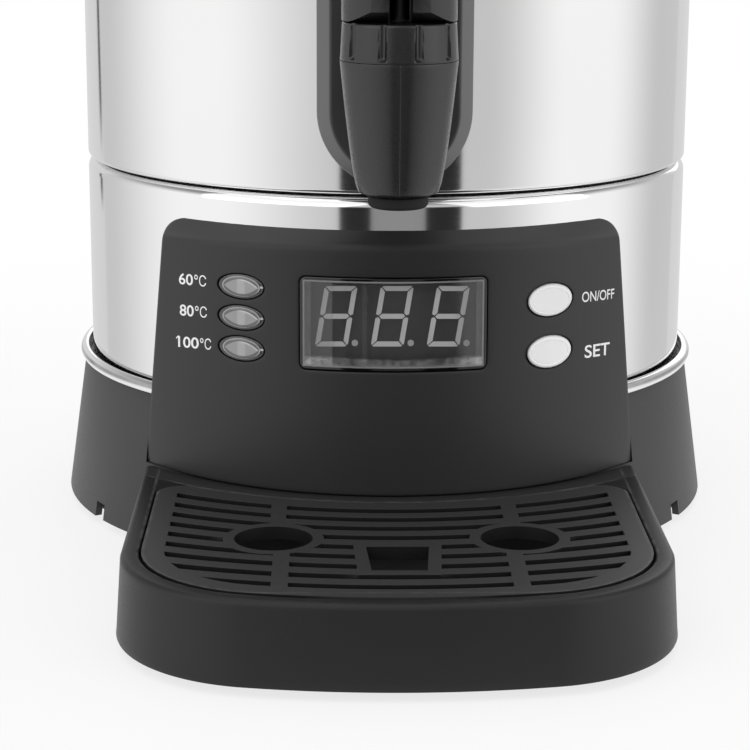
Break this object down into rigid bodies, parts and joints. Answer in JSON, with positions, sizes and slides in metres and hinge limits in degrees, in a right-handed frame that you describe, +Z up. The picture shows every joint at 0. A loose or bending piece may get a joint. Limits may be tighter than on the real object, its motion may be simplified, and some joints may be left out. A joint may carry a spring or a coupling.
{
  "type": "hot water urn",
  "caption": "Cylindrical double-walled steel hot water urn with a lever tap, level gauge, control panel with display, side handles, lift-off lid and pull-out drip tray.",
  "frame": {"origin": "on the surface the urn stands on, on the axis of the round steel body", "axes": "+Z up along the body axis, -Y towards the user: the tap, control panel and drip tray face -Y"},
  "size_m": [0.3, 0.3516, 0.4776],
  "materials": {
    "polished_steel": "mirror-polished stainless steel",
    "tank_steel": "satin stainless steel",
    "zinc_steel": "zinc-plated steel",
    "stem_steel": "turned stainless steel",
    "black_plastic": "satin black moulded plastic with a fine grain",
    "grate_plastic": "satin black moulded plastic",
    "tap_plastic": "smooth satin black moulded plastic",
    "handle_plastic": "satin black heat-proof plastic",
    "gland_plastic": "black nylon",
    "black_rubber": "matt black rubber",
    "silicone": "translucent white silicone",
    "smoked_window": "smoked clear plastic",
    "clear_lens": "clear moulded plastic",
    "module_black": "matt black plastic",
    "segment_grey": "milky diffuser bars, unlit",
    "led_white": "milky epoxy",
    "silver_button": "pale silver painted plastic",
    "board_green": "green solder mask",
    "relay_blue": "moulded plastic",
    "brass": "turned brass",
    "heater_aluminium": "cast aluminium",
    "element_sheath": "oxidised steel sheath",
    "ceramic": "glazed ceramic"
  },
  "bodies": {
    "root": {"base_skirt": "black_plastic", "base_plate": "zinc_steel", "rubber_feet": "black_rubber", "base_screws": "zinc_steel", "trim_ring": "polished_steel", "lower_shell": "polished_steel", "seam_gasket": "black_rubber", "seam_bolts": "zinc_steel", "seam_nuts": "zinc_steel", "cord_gland": "gland_plastic", "gland_nut": "gland_plastic", "control_panel": "black_plastic", "panel_screws": "zinc_steel", "display_window": "smoked_window", "display_module": "module_black", "display_segments": "segment_grey", "control_board": "board_green", "board_screws": "zinc_steel", "indicator_lenses": "clear_lens", "indicator_leds": "led_white", "button_switches": "module_black", "board_standoffs": "brass", "power_board": "board_green", "relay": "relay_blue", "terminal_block": "board_green", "outer_body": "polished_steel", "inner_tank": "tank_steel", "heat_plate": "heater_aluminium", "heating_element": "element_sheath", "thermal_cutout": "ceramic", "temperature_probe": "zinc_steel", "gauge_housing": "black_plastic", "tap_body": "tap_plastic", "shank_gasket": "silicone", "shank_nut": "tap_plastic", "spout_tip": "black_rubber", "bonnet_nut": "tap_plastic", "tap_spring": "zinc_steel", "gauge_elbow": "tap_plastic", "elbow_nut": "tap_plastic", "sight_tube": "clear_lens", "gauge_cap": "black_rubber", "gauge_window": "clear_lens", "rim_ring": "black_plastic", "left_handle": "handle_plastic", "right_handle": "handle_plastic", "body_screws": "zinc_steel"},
    "tap_stem": {"valve_stem": "stem_steel", "valve_seal": "silicone"},
    "tap_lever": {"tap_lever": "tap_plastic", "lever_pin": "stem_steel"},
    "on_off_button": {"on_off_button": "silver_button"},
    "set_button": {"set_button": "silver_button"},
    "lid": {"lid_shell": "polished_steel", "lid_seal": "silicone", "lid_knob": "handle_plastic", "knob_screw": "zinc_steel"},
    "drip_tray": {"drip_tray": "black_plastic", "tray_pads": "black_rubber"},
    "drip_grate": {"drip_grate": "grate_plastic"}
  },
  "joints": [
    {"name": "stem_lift", "type": "slide", "parent": "root", "child": "tap_stem", "axis": [0, 0, 1], "range_m": [0, 0.0046], "deforming": ["tap_spring"]},
    {"name": "lever_tilt", "type": "hinge", "parent": "tap_stem", "child": "tap_lever", "pos_m": [0, -0.158, 0.1993], "axis": [1, 0, 0], "range_deg": [0, 40], "stiffness_Nm_per_rad": 0.5, "springref_deg": -11.46},
    {"name": "on_off_press", "type": "slide", "parent": "root", "child": "on_off_button", "axis": [0, 1, 0], "range_m": [0, 0.001], "stiffness_N_per_m": 400},
    {"name": "set_press", "type": "slide", "parent": "root", "child": "set_button", "axis": [0, 1, 0], "range_m": [0, 0.001], "stiffness_N_per_m": 400},
    {"name": "lid_lift", "type": "slide", "parent": "root", "child": "lid", "axis": [0, 0, 1], "range_m": [0, 0.08]},
    {"name": "tray_pull", "type": "slide", "parent": "root", "child": "drip_tray", "axis": [0, -1, 0], "range_m": [0, 0.15]},
    {"name": "grate_lift", "type": "slide", "parent": "drip_tray", "child": "drip_grate", "axis": [0, 0, 1], "range_m": [0, 0.06]}
  ],
  "couplings": [
    {"joint": "stem_lift", "follows": "lever_tilt", "m_per_rad": 0.0064458}
  ]
}
